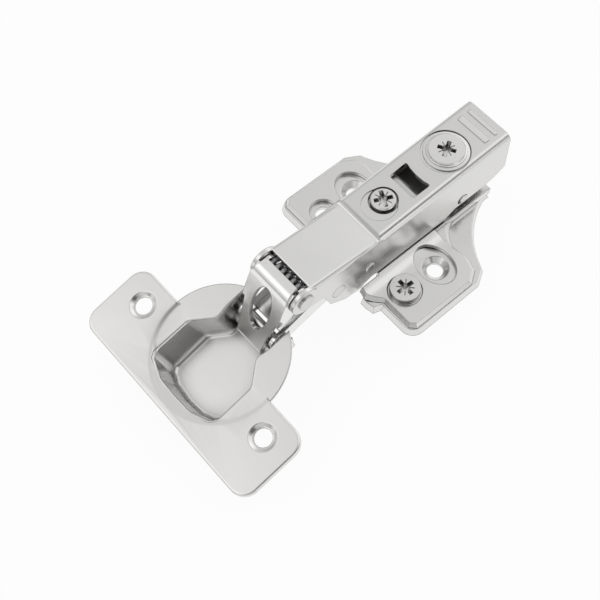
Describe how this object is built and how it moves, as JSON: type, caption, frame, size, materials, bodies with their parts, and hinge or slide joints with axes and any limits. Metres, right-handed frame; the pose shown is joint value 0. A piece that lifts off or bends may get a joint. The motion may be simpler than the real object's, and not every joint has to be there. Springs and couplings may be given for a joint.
{
  "type": "concealed cup hinge",
  "caption": "Concealed cabinet hinge: sunk cup with screw flange, two links, sprung arm with adjusting screws, clipped on a two-layer mounting plate.",
  "frame": {"origin": "midway between the two mounting plate screw holes, on the plate's back face, where it meets the cabinet side", "axes": "+X along the arm towards its tail (into the cabinet), +Y across the arm along the cabinet side, +Z away from the cabinet side"},
  "size_m": [0.1118, 0.0654, 0.0313],
  "materials": {
    "cup_nickel": "satin nickel plating",
    "link_nickel": "bright nickel plating",
    "arm_nickel": "satin nickel plating",
    "plate_nickel": "satin nickel plating",
    "inner_steel": "dull zinc plating",
    "screw_nickel": "satin nickel plating",
    "rivet_nickel": "satin nickel plating",
    "spring_steel": "oiled spring steel"
  },
  "bodies": {
    "base": {"base_plate": "plate_nickel"},
    "height_body": {"height_plate": "plate_nickel", "clip_adapter": "inner_steel", "guide_rivets": "inner_steel", "lever_pin": "rivet_nickel", "lever_spring": "spring_steel"},
    "height_cam": {"height_cam_screw": "screw_nickel"},
    "lever": {"release_lever": "inner_steel"},
    "rear_pin": {"rear_pin": "rivet_nickel"},
    "arm": {"hinge_arm": "arm_nickel", "front_pin": "rivet_nickel", "link_pin": "rivet_nickel", "spring_stop_pin": "rivet_nickel", "side_screw_nut": "inner_steel", "torsion_spring": "spring_steel"},
    "side_screw": {"side_adjust_screw": "screw_nickel"},
    "depth_cam": {"depth_cam_screw": "screw_nickel"},
    "outer_link": {"outer_link": "link_nickel"},
    "cup": {"hinge_cup": "cup_nickel", "outer_link_cup_pin": "rivet_nickel", "inner_link_cup_pin": "rivet_nickel"},
    "inner_link": {"inner_link": "link_nickel"}
  },
  "joints": [
    {"name": "height_slide", "type": "slide", "parent": "base", "child": "height_body", "axis": [0, 1, 0], "range_m": [-0.0015, 0.0015]},
    {"name": "height_cam_turn", "type": "hinge", "parent": "height_body", "child": "height_cam", "pos_m": [-0.0111, -0.0161, 0.0033], "axis": [0, 0, 1], "range_deg": [-50.5, 50.5]},
    {"name": "lever_press", "type": "hinge", "parent": "height_body", "child": "lever", "pos_m": [0.0225, 0, 0.0085], "axis": [0, 1, 0], "range_deg": [-10, 0], "stiffness_Nm_per_rad": 0.02, "springref_deg": 5.73, "deforming": ["lever_spring"]},
    {"name": "depth_slide", "type": "slide", "parent": "height_body", "child": "rear_pin", "axis": [1, 0, 0], "range_m": [-0.002, 0.002]},
    {"name": "side_tilt", "type": "hinge", "parent": "rear_pin", "child": "arm", "pos_m": [0.0169, 0, 0.00905], "axis": [0, 1, 0], "range_deg": [-1.3, 1.3]},
    {"name": "side_screw_turn", "type": "hinge", "parent": "arm", "child": "side_screw", "pos_m": [-0.00506, 0, 0.02], "axis": [0, 0, 1], "range_deg": [-182, 182]},
    {"name": "depth_cam_turn", "type": "hinge", "parent": "arm", "child": "depth_cam", "pos_m": [0.01695, 0, 0.021], "axis": [0, 0, 1], "range_deg": [-50.5, 50.5]},
    {"name": "outer_link_swing", "type": "hinge", "parent": "arm", "child": "outer_link", "pos_m": [-0.0379, 0, 0.0186], "axis": [0, 1, 0], "range_deg": [-13, 0.2], "deforming": ["torsion_spring"]},
    {"name": "door_fold", "type": "hinge", "parent": "outer_link", "child": "cup", "pos_m": [-0.04817, 0, 0.00192], "axis": [0, 1, 0], "range_deg": [0, 117.14]},
    {"name": "inner_link_turn", "type": "hinge", "parent": "cup", "child": "inner_link", "pos_m": [-0.04612, 0, 0.00526], "axis": [0, 1, 0], "range_deg": [-131.5, 0.2]}
  ],
  "couplings": [
    {"joint": "height_cam_turn", "follows": "height_slide", "rad_per_m": -581.78},
    {"joint": "depth_cam_turn", "follows": "depth_slide", "rad_per_m": 436.33},
    {"joint": "side_screw_turn", "follows": "side_tilt", "ratio": 138.46},
    {"joint": "outer_link_swing", "follows": "door_fold", "ratio": -0.10963},
    {"joint": "inner_link_turn", "follows": "door_fold", "ratio": -1.1194}
  ]
}
